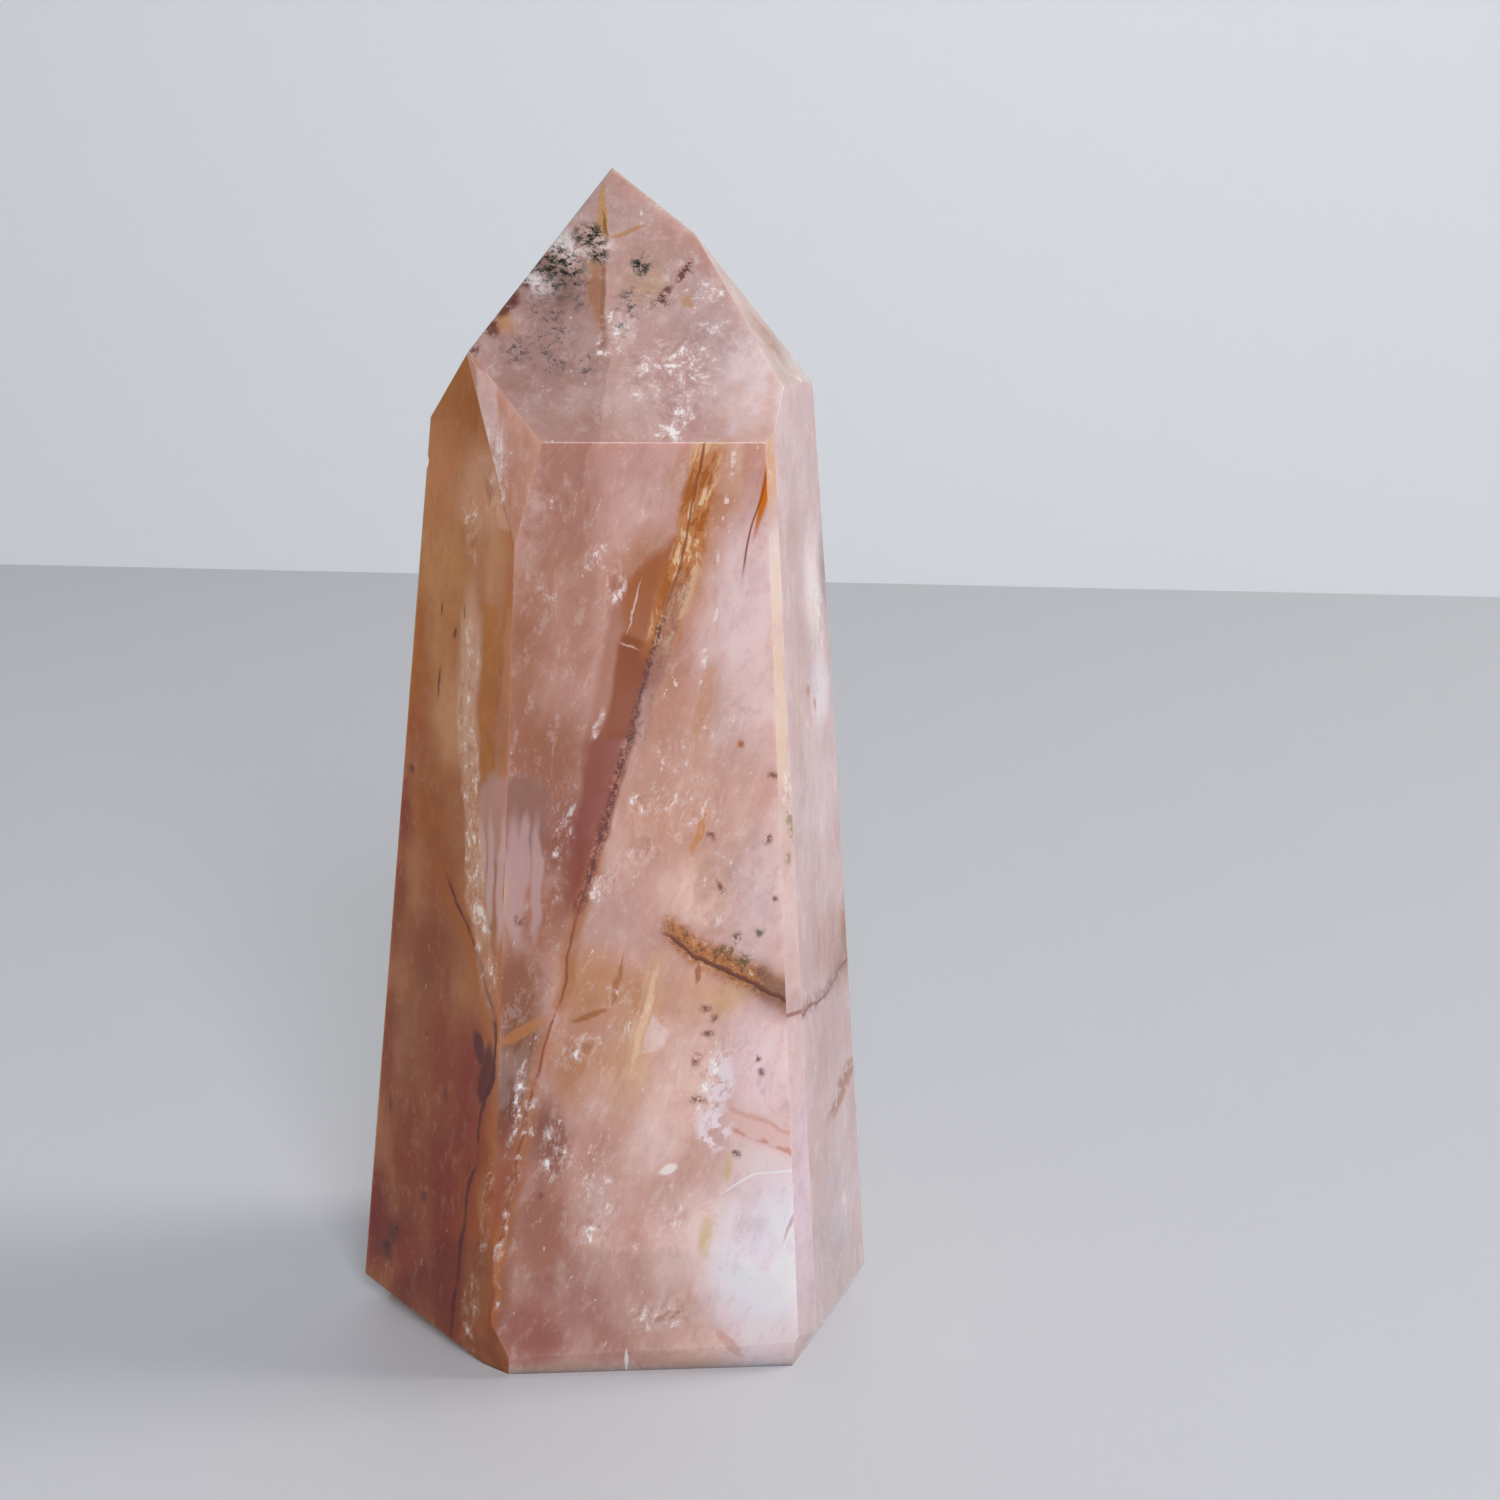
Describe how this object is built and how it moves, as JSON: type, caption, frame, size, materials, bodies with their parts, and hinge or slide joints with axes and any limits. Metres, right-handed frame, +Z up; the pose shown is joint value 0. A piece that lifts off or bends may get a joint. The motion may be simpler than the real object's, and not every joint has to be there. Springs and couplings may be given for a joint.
{
  "type": "polished quartz tower",
  "caption": "Hand-ground rose quartz tower: flat sides that taper from a bevelled flat foot to an off-centre faceted point.",
  "frame": {"origin": "middle of the bounding box, at the bottom of the foot", "axes": "+Z up the tower to its point, -Y the way its wide front face looks"},
  "size_m": [0.0376, 0.0304, 0.0828],
  "materials": {
    "rose_quartz": "polished, milky and cloudy, with rust-brown seams and white fracture veils inside"
  },
  "bodies": {
    "root": {"quartz_point": "rose_quartz"}
  },
  "joints": []
}
